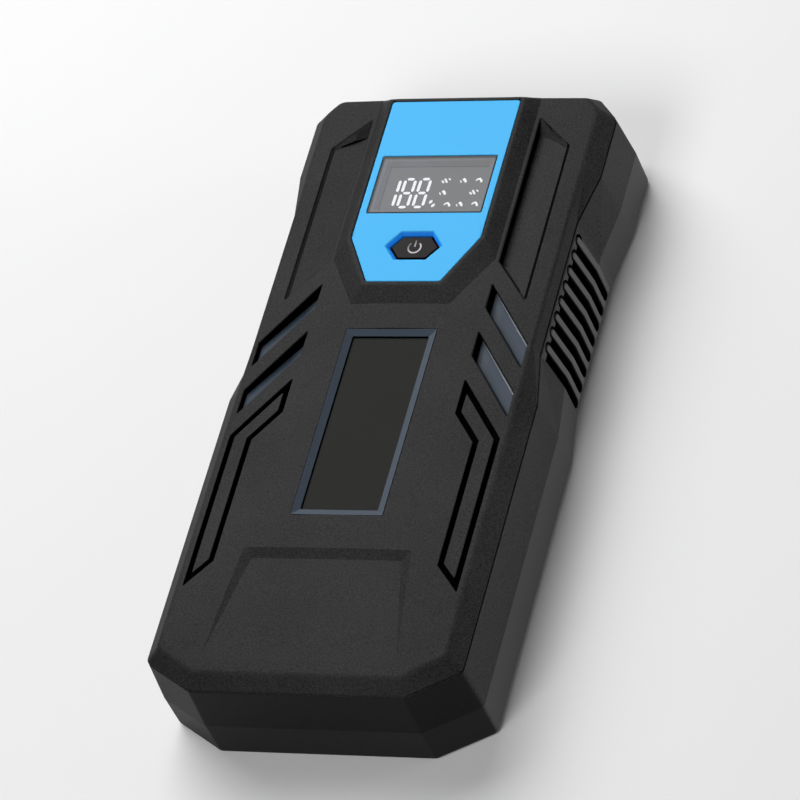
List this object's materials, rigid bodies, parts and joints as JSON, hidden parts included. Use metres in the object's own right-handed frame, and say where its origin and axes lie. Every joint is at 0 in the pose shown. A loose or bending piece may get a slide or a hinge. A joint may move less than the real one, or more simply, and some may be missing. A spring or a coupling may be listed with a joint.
{
  "type": "jump starter pack",
  "caption": "Vehicle jump starter pack: waisted plastic case with display panel, press button, and a hinged cover over its sockets.",
  "frame": {"origin": "middle of the flat back face, on which the pack lies", "axes": "+Z out of the front face, +Y along the case towards the display end, +X to the right seen from the front"},
  "size_m": [0.0882, 0.1904, 0.035],
  "materials": {
    "shell_plastic": "fine textured",
    "cover_rubber": "matte",
    "panel_plastic": "satin",
    "window_plastic": "tinted",
    "lit_segment": "lit",
    "module_plastic": "satin",
    "button_plastic": "satin",
    "plunger_plastic": "satin",
    "board_laminate": "lacquered",
    "trim_plastic": "satin",
    "plate_plastic": "glossy",
    "cell_foil": "foil",
    "pad_foam": "foam",
    "tab_nickel": "plated",
    "inductor_ferrite": "matte",
    "capacitor_sleeve": "sleeved",
    "lead_red": "silicone",
    "lead_black": "silicone",
    "ribbon_film": "film",
    "socket_plastic": "satin",
    "contact_brass": "plated",
    "port_steel": "bright",
    "lens_clear": "clear",
    "reflector_chrome": "mirror",
    "torch_laminate": "white",
    "screw_steel": "blackened"
  },
  "bodies": {
    "case": {"front_shell": "shell_plastic", "rear_shell": "shell_plastic", "control_panel": "panel_plastic", "display_window": "window_plastic", "display_digits": "lit_segment", "display_module": "module_plastic", "tact_switch": "module_plastic", "power_transistors": "module_plastic", "display_board": "board_laminate", "main_board": "board_laminate", "pack_board": "board_laminate", "nameplate_frame": "trim_plastic", "slot_insert_left": "trim_plastic", "slot_insert_right": "trim_plastic", "nameplate": "plate_plastic", "cell_1": "cell_foil", "cell_2": "cell_foil", "cell_3": "cell_foil", "cell_pads": "pad_foam", "cell_tabs": "tab_nickel", "power_inductor": "inductor_ferrite", "capacitors": "capacitor_sleeve", "positive_lead": "lead_red", "negative_lead": "lead_black", "display_ribbon": "ribbon_film", "jump_socket": "socket_plastic", "jump_contacts": "contact_brass", "usb_a_port": "port_steel", "usb_c_port": "port_steel", "cover_pin": "port_steel", "torch_lens": "lens_clear", "torch_reflector": "reflector_chrome", "torch_board": "torch_laminate", "case_screws": "screw_steel", "board_screws": "screw_steel"},
    "button": {"power_button": "button_plastic", "switch_plunger": "plunger_plastic"},
    "cover": {"port_cover": "cover_rubber"}
  },
  "joints": [
    {"name": "button_press", "type": "slide", "parent": "case", "child": "button", "axis": [0, 0, -1], "range_m": [0, 0.0006], "stiffness_N_per_m": 800, "springref_m": -0.0002},
    {"name": "cover_hinge", "type": "hinge", "parent": "case", "child": "cover", "pos_m": [0.034, 0.09365, 0.0123], "axis": [0, 0, -1], "range_deg": [0, 110]}
  ]
}
